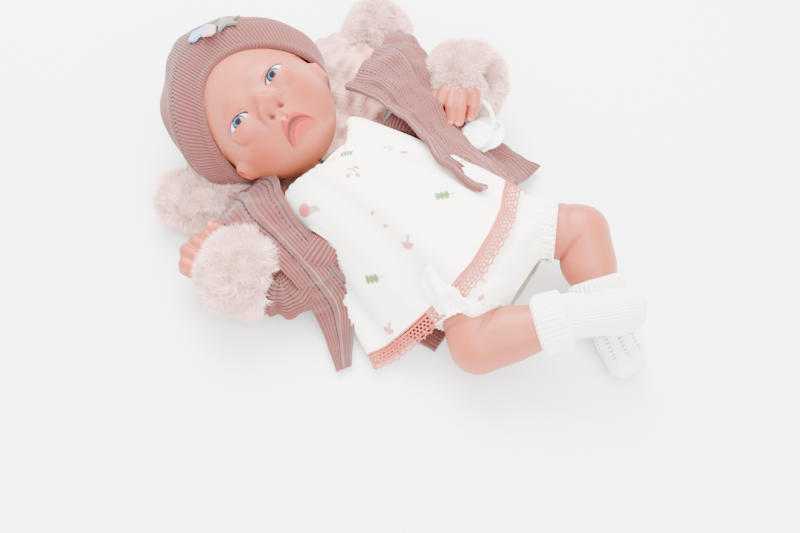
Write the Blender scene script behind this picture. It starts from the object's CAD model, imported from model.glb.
"""Visual model of a soft-bodied baby doll lying on its back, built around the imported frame.

Lengths in this script are millimetres; mesh data is scaled to metres when it is written.
"""
import math

import bpy
import numpy as np
from mathutils import Matrix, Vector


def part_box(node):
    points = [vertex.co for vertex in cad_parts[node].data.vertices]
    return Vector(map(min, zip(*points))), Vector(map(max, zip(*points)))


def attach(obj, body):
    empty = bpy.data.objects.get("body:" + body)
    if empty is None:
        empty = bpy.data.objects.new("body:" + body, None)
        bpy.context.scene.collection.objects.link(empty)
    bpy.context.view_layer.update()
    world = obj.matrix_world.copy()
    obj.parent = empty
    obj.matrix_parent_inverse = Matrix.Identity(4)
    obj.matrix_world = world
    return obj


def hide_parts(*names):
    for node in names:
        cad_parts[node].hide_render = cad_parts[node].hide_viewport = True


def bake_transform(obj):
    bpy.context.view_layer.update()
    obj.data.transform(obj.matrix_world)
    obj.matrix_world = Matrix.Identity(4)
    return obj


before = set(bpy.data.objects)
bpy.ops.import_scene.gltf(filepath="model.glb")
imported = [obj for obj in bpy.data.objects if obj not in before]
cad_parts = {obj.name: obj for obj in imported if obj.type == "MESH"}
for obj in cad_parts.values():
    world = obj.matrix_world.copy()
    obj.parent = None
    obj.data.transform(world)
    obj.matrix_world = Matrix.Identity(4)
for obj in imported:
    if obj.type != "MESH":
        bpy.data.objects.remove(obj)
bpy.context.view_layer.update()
MM = 0.001
TAU = 2 * math.pi


# ---- small maths --------------------------------------------------------------------------------
def vec(*numbers):
    return np.array(numbers, float)


def unit(v):
    v = np.asarray(v, float)
    return v / np.maximum(np.linalg.norm(v, axis=-1, keepdims=True), 1e-9)


def step(low, high, x):
    """Smooth step from 0 at low to 1 at high."""
    t = np.clip((x - low) / (high - low), 0, 1)
    return t * t * (3 - 2 * t)


def bump(distance, width):
    return np.exp(-(distance / width) ** 2)


def mix(a, b, t):
    return a + (b - a) * t


DEPTH = 2.3     # the view's tone curve flattens colours, so they are laid on deeper


def srgb(r, g, b):
    """Display colour 0-255 as linear 0-1, deepened for the tone curve."""
    c = np.array([r, g, b], float) / 255.0
    linear = np.where(c <= 0.04045, c / 12.92, ((c + 0.055) / 1.055) ** 2.4)
    return linear ** DEPTH


def turn(axis, degrees):
    """Rotation matrix about a coordinate axis."""
    return np.array(Matrix.Rotation(math.radians(degrees), 3, axis))


def ripple(points, size, seed, waves=7):
    """Smooth irregular noise, about -1 to 1, with features of the given size."""
    dice = np.random.default_rng(seed)
    total = np.zeros(points.shape[:-1])
    for _ in range(waves):
        way = unit(dice.normal(size=3)) * TAU / size * dice.uniform(0.6, 1.5)
        total += np.sin(points @ way + dice.uniform(0, TAU))
    return total / math.sqrt(waves)


def smooth_line(points, count, closed=False):
    """Catmull-Rom curve through the points, as count points."""
    p = np.asarray(points, float)
    n = len(p)
    if closed:
        t = np.linspace(0, n, count, endpoint=False)
        pick = lambda k: p[k % n]
    else:
        t = np.linspace(0, n - 1, count)
        first, last = 2 * p[0] - p[1], 2 * p[-1] - p[-2]
        full = np.concatenate([[first], p, [last]])
        pick = lambda k: full[np.clip(k + 1, 0, n + 1)]
    i = np.floor(t).astype(int)
    if not closed:
        i = np.minimum(i, n - 2)
    f = (t - i).reshape((-1,) + (1,) * (p.ndim - 1))
    a, b, c, d = pick(i - 1), pick(i), pick(i + 1), pick(i + 2)
    return 0.5 * (2 * b + (c - a) * f + (2 * a - 5 * b + 4 * c - d) * f ** 2
                  + (3 * b - a - 3 * c + d) * f ** 3)


def frames_along(path, closed=False):
    """Tangents and two side directions that do not twist along a path."""
    if closed:
        tangent = unit(np.roll(path, -1, 0) - np.roll(path, 1, 0))
    else:
        tangent = unit(np.gradient(path, axis=0))
    side = np.zeros_like(path)
    guess = np.cross(tangent[0], vec(0, 0, 1))
    if np.linalg.norm(guess) < 0.2:
        guess = np.cross(tangent[0], vec(1, 0, 0))
    for k in range(len(path)):
        guess = unit(guess - tangent[k] * (guess @ tangent[k]))
        side[k] = guess
    return tangent, side, np.cross(tangent, side)


def grid_normals(grid, wrap_u=False, wrap_v=False):
    """Unit normals of a grid of points; wrapped directions are periodic."""
    def slope(axis, wrap):
        if wrap:
            return np.roll(grid, -1, axis) - np.roll(grid, 1, axis)
        return np.gradient(grid, axis=axis)
    return unit(np.cross(slope(0, wrap_u), slope(1, wrap_v)))


# ---- meshes -------------------------------------------------------------------------------------
def quads(rows, columns, wrap_rows=False, wrap_columns=False):
    i = np.arange(rows if wrap_rows else rows - 1)
    j = np.arange(columns if wrap_columns else columns - 1)
    i, j = np.meshgrid(i, j, indexing="ij")
    down, right = (i + 1) % rows, (j + 1) % columns
    corners = [i * columns + j, down * columns + j, down * columns + right, i * columns + right]
    return np.stack(corners, -1).reshape(-1, 4)


class Heap:
    """Collects pieces of mesh, so that one object can hold many of them."""

    def __init__(self):
        self.points, self.faces, self.tints, self.count = [], [], [], 0

    def add(self, points, faces, tint=None):
        points = np.asarray(points, float).reshape(-1, 3)
        self.faces.append(np.asarray(faces) + self.count)
        self.points.append(points)
        self.count += len(points)
        if tint is not None:
            self.tints.append(np.broadcast_to(np.asarray(tint, float), (len(points), 3)))

    def grid(self, grid, wrap_rows=False, wrap_columns=False, tint=None):
        rows, columns = grid.shape[:2]
        if tint is not None:
            tint = np.broadcast_to(tint, grid.shape).reshape(-1, 3)
        self.add(grid, quads(rows, columns, wrap_rows, wrap_columns), tint)

    def tube(self, path, radius, sides=8, closed=False, tint=None):
        path = np.asarray(path, float)
        _, side, other = frames_along(path, closed)
        angle = np.linspace(0, TAU, sides, endpoint=False)
        radius = np.broadcast_to(radius, len(path))[:, None, None]
        ring = (side[:, None] * np.cos(angle)[None, :, None]
                + other[:, None] * np.sin(angle)[None, :, None])
        self.grid(path[:, None] + ring * radius, closed, True, tint)

    def build(self, name, material, body=None, stands=(), slot=None, smooth=True):
        points = np.concatenate(self.points) * MM
        mesh = bpy.data.meshes.new(name)
        mesh.vertices.add(len(points))
        mesh.vertices.foreach_set("co", points.astype(np.float32).ravel())
        corners = np.concatenate([f.ravel() for f in self.faces]).astype(np.int32)
        sizes = np.concatenate([np.full(len(f), f.shape[1]) for f in self.faces])
        mesh.loops.add(len(corners))
        mesh.loops.foreach_set("vertex_index", corners)
        mesh.polygons.add(len(sizes))
        starts = np.concatenate([[0], np.cumsum(sizes)[:-1]]).astype(np.int32)
        mesh.polygons.foreach_set("loop_start", starts)
        mesh.update(calc_edges=True)
        mesh.polygons.foreach_set("use_smooth", np.full(len(sizes), smooth))
        if self.tints:
            tint = np.concatenate(self.tints)
            layer = mesh.color_attributes.new("tint", "FLOAT_COLOR", "POINT")
            layer.data.foreach_set("color", np.c_[tint, np.ones(len(tint))].astype(np.float32).ravel())
        mesh.materials.append(material)
        obj = bpy.data.objects.new(name, mesh)
        bpy.context.collection.objects.link(obj)
        if body:
            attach(obj, body)
        if stands:
            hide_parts(*stands)
        return obj


def layered(grid, thick, wrap_columns=False, inner=None):
    """A cloth of the given thickness from a grid: outer face, inner face and closed edges."""
    if inner is None:
        inner = grid - grid_normals(grid, False, wrap_columns) * thick
    heap = Heap()
    rows, columns = grid.shape[:2]
    count = rows * columns
    index = np.arange(count).reshape(rows, columns)
    faces = [quads(rows, columns, False, wrap_columns)]
    faces.append(faces[0][:, ::-1] + count)

    def strip(line, closed):
        a = line
        b = np.roll(line, -1) if closed else line[1:]
        if not closed:
            a = line[:-1]
        faces.append(np.stack([a, b, b + count, a + count], -1))
    strip(index[0][::-1], wrap_columns)
    strip(index[-1], wrap_columns)
    if not wrap_columns:
        strip(index[:, 0], False)
        strip(index[:, -1][::-1], False)
    heap.add(np.concatenate([grid.reshape(-1, 3), inner.reshape(-1, 3)]), np.concatenate(faces))
    return heap


def capsule(a, ra, b, rb, sides=28, rings=14):
    """Rounded cone between two balls, as points and faces."""
    a, b = np.asarray(a, float), np.asarray(b, float)
    length = np.linalg.norm(b - a)
    axis = unit(b - a) if length > 1e-6 else vec(0, 0, 1)
    lean = math.asin(np.clip((ra - rb) / max(length, 1e-6), -0.999, 0.999))
    angles = np.concatenate([np.linspace(-math.pi / 2, lean, rings),
                             np.linspace(lean, math.pi / 2, rings)])
    base = np.repeat([0.0, length], rings)
    radii = np.repeat([ra, rb], rings)
    along = base + radii * np.sin(angles)
    out = radii * np.cos(angles)
    side = unit(np.cross(axis, vec(0.3, 0.9, 0.1)))
    other = np.cross(axis, side)
    turnings = np.linspace(0, TAU, sides, endpoint=False)
    ring = side * np.cos(turnings)[:, None] + other * np.sin(turnings)[:, None]
    points = a + axis * along[:, None, None] + ring[None] * out[:, None, None]
    return points.reshape(-1, 3), quads(2 * rings, sides, False, True)[:, ::-1]


def egg(centre, radii, rotation=None, sides=40, rings=24):
    """Ellipsoid as points and faces."""
    theta = np.linspace(0.001, math.pi - 0.001, rings)[:, None]
    phi = np.linspace(0, TAU, sides, endpoint=False)[None]
    ball = np.stack([np.sin(theta) * np.cos(phi), np.sin(theta) * np.sin(phi),
                     np.cos(theta) + 0 * phi], -1) * np.asarray(radii, float)
    if rotation is not None:
        ball = ball @ rotation.T
    return (ball + np.asarray(centre, float)).reshape(-1, 3), quads(rings, sides, False, True)


def clay(pieces, voxel=1.0, passes=8):
    """One smooth closed skin round overlapping pieces, as points and faces."""
    heap = Heap()
    for points, faces in pieces:
        heap.add(points, faces)
    rough = heap.build("clay", material_plain)
    remesh = rough.modifiers.new("skin", "REMESH")
    remesh.mode = "VOXEL"
    remesh.voxel_size = voxel * MM
    relax = rough.modifiers.new("relax", "SMOOTH")
    relax.factor = 0.5
    relax.iterations = passes
    graph = bpy.context.evaluated_depsgraph_get()
    mesh = bpy.data.meshes.new_from_object(rough.evaluated_get(graph))
    points = np.empty(len(mesh.vertices) * 3, np.float32)
    mesh.vertices.foreach_get("co", points)
    faces = np.empty(len(mesh.polygons) * 4, np.int32)
    mesh.polygons.foreach_get("vertices", faces)
    bpy.data.objects.remove(rough)
    bpy.data.meshes.remove(mesh)
    return points.reshape(-1, 3).astype(float) / MM, faces.reshape(-1, 4)


def chain(joints):
    """Capsules through (point, radius) pairs."""
    return [capsule(*joints[k], *joints[k + 1]) for k in range(len(joints) - 1)]


# ---- materials ----------------------------------------------------------------------------------
def material(name, colour, rough, tinted=False, bumps=(), mottle=0.0, **sockets):
    """Principled material: base colour (or the mesh's tint), mottling and layers of fine bump."""
    m = bpy.data.materials.new(name)
    m.use_nodes = True
    nodes, links = m.node_tree.nodes, m.node_tree.links
    shader = nodes["Principled BSDF"]
    shader.inputs["Roughness"].default_value = rough
    for key, number in sockets.items():
        shader.inputs[key.replace("_", " ").title().replace("Ior", "IOR")].default_value = number
    where = nodes.new("ShaderNodeTexCoord").outputs["Object"]
    flat = tuple(srgb(*colour)) + (1.0,)
    source = None
    if tinted:
        layer = nodes.new("ShaderNodeAttribute")
        layer.attribute_name = "tint"
        source = layer.outputs["Color"]
    if mottle:
        noise = nodes.new("ShaderNodeTexNoise")
        noise.inputs["Scale"].default_value = 90
        noise.inputs["Detail"].default_value = 4
        links.new(where, noise.inputs["Vector"])
        ramp = nodes.new("ShaderNodeMapRange")
        ramp.inputs["To Min"].default_value = 1 - mottle
        ramp.inputs["To Max"].default_value = 1 + mottle
        links.new(noise.outputs["Fac"], ramp.inputs["Value"])
        scale = nodes.new("ShaderNodeVectorMath")
        scale.operation = "SCALE"
        if source is None:
            scale.inputs[0].default_value = flat[:3]
        else:
            links.new(source, scale.inputs[0])
        links.new(ramp.outputs["Result"], scale.inputs["Scale"])
        source = scale.outputs["Vector"]
    if source is None:
        shader.inputs["Base Color"].default_value = flat
    else:
        links.new(source, shader.inputs["Base Color"])
    normal = None
    for kind, scale_value, height in bumps:
        if kind == "weave":
            texture = nodes.new("ShaderNodeTexWave")
            texture.inputs["Scale"].default_value = scale_value
            texture.inputs["Distortion"].default_value = 1.5
            output = texture.outputs["Fac"]
        elif kind == "cells":
            texture = nodes.new("ShaderNodeTexVoronoi")
            texture.inputs["Scale"].default_value = scale_value
            output = texture.outputs["Distance"]
        else:
            texture = nodes.new("ShaderNodeTexNoise")
            texture.inputs["Scale"].default_value = scale_value
            texture.inputs["Detail"].default_value = 3
            output = texture.outputs["Fac"]
        links.new(where, texture.inputs["Vector"])
        relief = nodes.new("ShaderNodeBump")
        relief.inputs["Strength"].default_value = 1.0
        relief.inputs["Distance"].default_value = height * MM
        links.new(output, relief.inputs["Height"])
        if normal is not None:
            links.new(normal, relief.inputs["Normal"])
        normal = relief.outputs["Normal"]
    if normal is not None:
        links.new(normal, shader.inputs["Normal"])
    return m


material_plain = material("plain", (200, 200, 200), 0.6)
skin = material("skin_vinyl", (222, 163, 142), 0.42, tinted=True, mottle=0.02,
                bumps=(("noise", 1500, 0.012),), subsurface_weight=0.12,
                subsurface_radius=(1.0, 0.35, 0.2), subsurface_scale=0.004, specular_ior_level=0.35)
eye_gloss = material("eye_gloss", (255, 255, 255), 0.10, tinted=True, mottle=0.01,
                     specular_ior_level=0.25, coat_weight=0.12, coat_roughness=0.02)
knit = material("knit_rose", (196, 146, 142), 0.9, tinted=True, mottle=0.06,
                bumps=(("noise", 2600, 0.06),), sheen_weight=0.35, sheen_roughness=0.5,
                specular_ior_level=0.2)
fur_soft = material("fur_pink", (232, 207, 201), 0.85, tinted=True, mottle=0.03,
                    bumps=(("noise", 900, 0.2),), sheen_weight=0.6, sheen_roughness=0.4,
                    specular_ior_level=0.25)
cotton = material("dress_cotton", (250, 247, 238), 0.7, tinted=True, mottle=0.01,
                  bumps=(("weave", 2300, 0.012), ("noise", 1600, 0.01)), sheen_weight=0.15,
                  specular_ior_level=0.3)
crochet = material("lace_pink", (226, 158, 144), 0.8, mottle=0.08,
                   bumps=(("noise", 2400, 0.05),), sheen_weight=0.2, specular_ior_level=0.2)
sock_knit = material("sock_white", (246, 245, 241), 0.9, tinted=True, mottle=0.02,
                     bumps=(("noise", 2200, 0.05),), sheen_weight=0.25, specular_ior_level=0.2)
felt_green = material("felt_green", (150, 160, 150), 0.95, mottle=0.12,
                      bumps=(("noise", 1800, 0.12),), sheen_weight=0.4)
felt_blue = material("felt_blue", (176, 196, 228), 0.95, mottle=0.1,
                     bumps=(("noise", 1800, 0.12),), sheen_weight=0.4)
felt_pink = material("felt_pink", (226, 196, 196), 0.95, mottle=0.1,
                     bumps=(("noise", 1800, 0.12),), sheen_weight=0.4)
white_plastic = material("pacifier_white", (250, 250, 250), 0.22, mottle=0.01,
                         bumps=(("noise", 700, 0.01),), coat_weight=0.3)

SKIN = srgb(204, 152, 132)
SKIN_LIGHT = srgb(212, 163, 144)
SKIN_WARM = srgb(206, 134, 114)
ROSE = srgb(176, 138, 134)

# ---- head ---------------------------------------------------------------------------------------
HEAD = vec(-121, 6, 66)
HEAD_TURN = turn("Z", -9) @ turn("Y", -7) @ turn("X", 23.5)
HEAD_RADII = vec(58.5, 45.0, 48.5)
JAW_RADII = vec(46.5, 44.0, 48.5)
NECK = vec(-62, 0, 46)
NECK_AXIS = unit(HEAD - NECK)


def head_place(points):
    """Head-local points (-x crown, +y doll's left, +z face) to the frame."""
    return points @ HEAD_TURN.T + HEAD


def head_local(points):
    return (points - HEAD) @ HEAD_TURN


def box_middle(node):
    low, high = (np.array(c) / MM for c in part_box(node))
    return (low + high) / 2


EYE_RADIUS = 11.0
EYE_SHIFT = vec(4.5, -0.5, -2.4)
EYES = {side: head_local(box_middle("eye_" + side)) + EYE_SHIFT for side in ("left", "right")}
LID_LIFT = 0.9
MOUTH_X, MOUTH_HALF = 41.6, 12.4


def eye_frame(x, y, centre, sign):
    """Position inside the almond: along (outer corner +) and across (brow -, cheek +)."""
    along = sign * (y - centre[1])
    across = x - centre[0]
    return along, across + 0.10 * along


def lip_line(y):
    return MOUTH_X + 2.2 * (y / MOUTH_HALF) ** 2


def lip_heights(y):
    t = np.clip(1 - (y / MOUTH_HALF) ** 2, 0, 1)
    upper = 4.6 * t ** 0.75 - 0.9 * bump(y, 1.9) + 0.5 * bump(np.abs(y) - 3.6, 2.0)
    lower = 5.6 * np.clip(1 - (y / (MOUTH_HALF - 1.0)) ** 2, 0, 1) ** 0.7
    return upper, lower


def face(points, height):
    """Adds the face's relief to head-local points; height is the mask of the front."""
    x, y, z = points[..., 0], points[..., 1], points[..., 2]
    side = np.abs(y)
    lift = np.zeros_like(x)
    # cheeks, muzzle, brow ridge and sockets
    lift += 5.4 * bump(np.hypot((x - 29) / 1.1, side - 22), 14.5)
    lift += 6.6 * bump(np.hypot((x - 41) / 0.9, y / 1.1), 11)
    lift -= 1.5 * bump(np.hypot(x - 37, side - 15.5), 5)
    lift -= 3.0 * bump(np.hypot((x - 15.5) / 0.8, (side - 17) / 1.35), 7.5)
    lift += 1.2 * bump(np.hypot((x - 2) / 0.7, (side - 17) / 1.6), 7)
    lift -= 2.2 * bump(np.hypot((x - 11) / 1.3, y), 6)
    lift += 1.8 * bump(np.hypot((x + 20) / 1.3, y / 1.4), 22)
    # nose: bridge, bulb, wings, nostrils
    lift += 3.0 * bump(np.hypot((x - 19) / 2.2, y), 4.4)
    lift += 8.6 * bump(np.hypot((x - 25.3) / 1.05, y), 5.6)
    lift += 5.0 * bump(np.hypot((x - 28.0), side - 6.8), 3.4)
    lift -= 4.6 * bump(np.hypot((x - 31.4) / 0.75, (side - 4.6) / 1.15), 2.1)
    lift -= 2.0 * bump(np.hypot((x - 28.0) / 1.6, side - 11.4), 2.4)
    lift -= 1.6 * bump(np.hypot((x - 34.6) / 1.4, y), 2.0)
    # lips
    line = lip_line(y)
    upper, lower = lip_heights(y)
    inside = step(MOUTH_HALF + 1.0, MOUTH_HALF - 1.5, side)
    up = np.clip((line - x) / np.maximum(upper, 0.2), -1, 2)
    down = np.clip((x - line) / np.maximum(lower, 0.2), -1, 2)
    lift += 2.1 * inside * np.exp(-((up - 0.45) / 0.5) ** 2) * (x < line)
    lift += 2.9 * inside * np.exp(-((down - 0.5) / 0.5) ** 2) * (x >= line)
    gap = 0.45 + 0.55 * bump(y, 5.5)
    lift -= 2.4 * step(MOUTH_HALF + 0.8, MOUTH_HALF - 3, side) * bump(x - line, gap)
    lift -= 1.1 * bump(np.hypot(x - line, side - MOUTH_HALF - 0.2), 1.7)
    lift -= 2.2 * bump(np.hypot((x - 48.6) / 0.8, y / 2.6), 3.0)
    # chin
    outward = 3.6 * bump(np.hypot(x - 50.5, y / 1.25), 9.5) * step(-15, 10, z)
    moved = points.copy()
    moved[..., 2] += lift * height + outward * 0.45
    moved[..., 0] += outward * 0.9
    # the nose tip turns up a little and the cheeks fill sideways
    moved[..., 0] -= 1.4 * bump(np.hypot(x - 25, y), 6) * height
    moved[..., 1] += np.sign(y) * 1.2 * bump(np.hypot(x - 30, side - 33), 14) * step(-20, 15, z)
    return moved


def almond(along, across):
    """Signed distance-like value of the lid opening: positive inside."""
    half = 9.0
    t = np.clip(1 - (along / half) ** 2, 0, 1)
    top = 4.1 * t ** 0.62
    low = 3.1 * t ** 0.85
    return np.where(across < 0, top + across, low - across) - np.where(np.abs(along) > half, 5, 0)


def build_head():
    rows, columns = 300, 520
    front = unit(vec(26, 0, 44))
    side = vec(0, 1, 0)
    up = np.cross(front, side)
    share = np.linspace(0, 1, rows)
    theta = math.pi * (0.36 * share + 0.64 * share ** 3.2)
    theta[0] = 0.0008
    theta[-1] = math.pi - 0.002
    phi = np.linspace(0, TAU, columns, endpoint=False)
    t, p = np.meshgrid(theta, phi, indexing="ij")
    way = (front * np.cos(t)[..., None] + side * (np.sin(t) * np.cos(p))[..., None]
           + up * (np.sin(t) * np.sin(p))[..., None])
    radii = np.where(way[..., :1] > 0, JAW_RADII, HEAD_RADII)
    reach = 1 / np.linalg.norm(way / radii, axis=-1)
    points = way * reach[..., None]
    height = step(0.05, 0.42, points[..., 2] / HEAD_RADII[2])
    points = face(points, height)
    x, y = points[..., 0], points[..., 1]
    tint = np.broadcast_to(mix(SKIN, SKIN_LIGHT, 0.35), points.shape).copy()

    def paint(colour, amount):
        nonlocal tint
        tint = mix(tint, colour, np.clip(amount, 0, 1)[..., None])
    paint(SKIN_LIGHT, step(14, -25, x) * 0.8)
    paint(SKIN_WARM, 0.62 * bump(np.hypot(x - 31, np.abs(y) - 25), 13) * height)
    paint(SKIN_WARM, 0.40 * bump(np.hypot(x - 25.5, y), 7) * height)
    paint(SKIN_WARM, 0.45 * bump(np.hypot(x - 57, y), 9))
    paint(SKIN_WARM, 0.40 * bump(np.hypot(x - 1.5, np.abs(y) - 17), 5) * height)
    # ears: a curled rim round a hollow, on each side of the head
    for sign in (1, -1):
        spot = vec(15.5, sign * 46, 4)
        d = points - spot
        ring = np.hypot(d[..., 0], d[..., 2] * 0.8)
        near = step(20, 12, np.abs(d[..., 1]))
        grow = near * (4.2 * bump(ring - 4.8, 3.0) + 1.3 * bump(ring, 3.0) - 1.4 * bump(ring - 2.5, 1.6))
        points[..., 1] += sign * grow
        paint(srgb(228, 142, 122), 0.5 * near * bump(ring - 1.5, 4))
    for side_name, sign in (("left", 1), ("right", -1)):
        centre = EYES[side_name]
        along, across = eye_frame(x, y, centre, sign)
        flat = np.hypot(x - centre[0], y - centre[1])
        ball = centre[2] + np.sqrt(np.clip(EYE_RADIUS ** 2 - flat ** 2, 0, None))
        shell = centre[2] + np.sqrt(np.clip((EYE_RADIUS + LID_LIFT) ** 2 - flat ** 2, 0, None))
        on_front = height > 0.5
        over = np.where((flat < EYE_RADIUS + LID_LIFT) & on_front, shell, -99)
        blend_k = 1.2
        smooth_max = blend_k * np.logaddexp(points[..., 2] / blend_k, over / blend_k)
        points[..., 2] = np.where(on_front, smooth_max, points[..., 2])
        opening = almond(along, across)
        sunk = step(-0.1, 0.35, opening) * on_front
        points[..., 2] = mix(points[..., 2], np.minimum(points[..., 2], ball - 1.6), sunk)
        # crease above the upper lid
        crease = bump(almond(along * 0.92, across + 2.1) + 0.2, 0.55) * (across < -1.2) * on_front
        points[..., 2] -= 0.7 * crease * step(10.0, 7.0, np.abs(along))
        near_eye = step(14, 9, np.hypot(along, across))
        paint(srgb(196, 120, 98), 0.5 * near_eye * crease)
        rim = near_eye * on_front
        paint(srgb(58, 34, 28), 0.95 * rim * bump(opening + 0.15, 0.45) * step(0.8, -0.6, across))
        paint(srgb(206, 120, 100), 0.75 * rim * bump(opening + 0.35, 0.6) * step(-0.6, 0.8, across))
        paint(srgb(214, 120, 102), 0.6 * rim * bump(np.hypot(along + 9.2, across - 0.6), 1.4))
        paint(srgb(80, 40, 34), sunk * 0.8)
        # brow: short fine strokes
        brow_along = sign * (y - centre[1] * 0.98)
        brow_line = centre[0] - 12.6 - 0.012 * (brow_along + 2) ** 2
        hatch = 0.55 + 0.45 * np.sin(brow_along * 3.4 + (x - brow_line) * 2.6)
        brow = bump(x - brow_line, 1.25) * step(8.5, 4.5, np.abs(brow_along - 0.5))
        paint(srgb(196, 138, 116), 0.30 * brow * hatch * on_front)
    # lips
    x, y = points[..., 0], points[..., 1]
    line = lip_line(y)
    upper, lower = lip_heights(y)
    within = step(0.35, -0.35, (line - upper) - x) * step(-0.35, 0.35, (line + lower) - x)
    within *= step(MOUTH_HALF + 0.3, MOUTH_HALF - 0.8, np.abs(y)) * height
    paint(srgb(206, 104, 82), 0.92 * within)
    paint(srgb(222, 134, 112), 0.4 * within * bump(x - line - lower * 0.5, 1.5))
    paint(srgb(110, 44, 36), 0.85 * bump(x - line, 0.45 + 0.35 * bump(y, 5)) * height
          * step(MOUTH_HALF + 0.6, MOUTH_HALF - 1.5, np.abs(y)))
    for sign in (1, -1):
        paint(srgb(120, 60, 48), 0.75 * height * bump(
            np.hypot((x - 30.9) / 0.8, (y - sign * 4.7) / 1.15), 1.5))
    paint(srgb(206, 128, 108), 0.5 * height * bump(np.hypot((x - 28.0) / 1.6, np.abs(y) - 10.4), 1.2))
    heap = Heap()
    heap.grid(head_place(points), False, True, tint)
    heap.build("head_skin", skin, "head", ("head_shell",), "skin_vinyl")


build_head()


def build_eye(side):
    centre = EYES[side]
    sign = 1 if side == "left" else -1
    gaze = unit(vec(0.06, -0.02 - 0.02 * sign, 1.0))
    across = unit(np.cross(gaze, vec(0, 1, 0)))
    other = np.cross(gaze, across)
    theta = np.linspace(0.0005, math.pi * 0.72, 190)
    phi = np.linspace(0, TAU, 220, endpoint=False)
    t, p = np.meshgrid(theta, phi, indexing="ij")
    iris = 5.0
    out = np.sin(t) * EYE_RADIUS
    dome = 0.75 * np.clip(1 - (out / (iris + 0.7)) ** 2, 0, 1) * (t < 1.2)
    radius = EYE_RADIUS + dome
    points = (gaze * (np.cos(t) * radius)[..., None] + across * (np.sin(t) * radius * np.cos(p))[..., None]
              + other * (np.sin(t) * radius * np.sin(p))[..., None]) + centre
    white = srgb(236, 238, 240)
    tint = np.broadcast_to(white, points.shape).copy()

    def paint(colour, amount):
        nonlocal tint
        tint = mix(tint, colour, np.clip(amount, 0, 1)[..., None])
    front = t < 1.4
    disc = step(iris + 0.25, iris - 0.25, out) * front
    streak = 0.5 + 0.25 * np.sin(p * 23 + 2 * np.sin(out * 1.9)) + 0.25 * np.sin(p * 41 + 3)
    paint(srgb(70, 86, 108), disc)
    paint(srgb(170, 192, 214), 0.7 * disc * streak * bump(out - 2.9, 1.0))
    paint(srgb(26, 32, 44), disc * step(3.5, 4.8, out) * 0.95)
    paint(srgb(10, 10, 12), step(2.5, 2.1, out) * front)
    paint(srgb(44, 56, 74), 0.6 * disc * bump(out - 2.0, 0.5))
    heap = Heap()
    heap.grid(head_place(points), False, True, tint)
    heap.build("eyeball_" + side, eye_gloss, "head", ("eye_" + side,), "eye_glass")


for eye_side in EYES:
    build_eye(eye_side)

# ---- knitted hat --------------------------------------------------------------------------------
HAT_SHIFT = vec(-12, -1, 0)
HAT_RADII = vec(78.0, 62.0, 58.5)
RIBS = 150


def reach_of(way, radii, shift=vec(0, 0, 0)):
    """Distance from the head's centre to an ellipsoid's surface along way."""
    w = way / radii
    s = -shift / radii
    a = (w * w).sum(-1)
    b = (w * s).sum(-1)
    c = (s * s).sum() - 1
    return (-b + np.sqrt(b * b - a * c)) / a


def hat_ways(alpha, beta):
    return np.stack([-np.cos(alpha), np.sin(alpha) * np.cos(beta), np.sin(alpha) * np.sin(beta)], -1)


def hat_limit(beta, height, slope, nape, radii, shift):
    """Angle from the crown at which the hat's plane is met, smoothed round the head."""
    scan = np.linspace(0.3, 2.2, 500)
    a, b = np.meshgrid(beta, scan, indexing="ij")
    way = hat_ways(a * 0 + b, a)
    p = way * reach_of(way, radii, shift)[..., None]
    covered = (p[..., 2] < height - slope * p[..., 0]) & (p[..., 0] < nape)
    first = np.argmin(covered, axis=1)
    limit = scan[first]
    kernel = np.exp(-np.linspace(-2.2, 2.2, 71) ** 2)
    kernel /= kernel.sum()
    return np.convolve(np.r_[limit[-35:], limit, limit[:35]], kernel, "valid")


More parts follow.
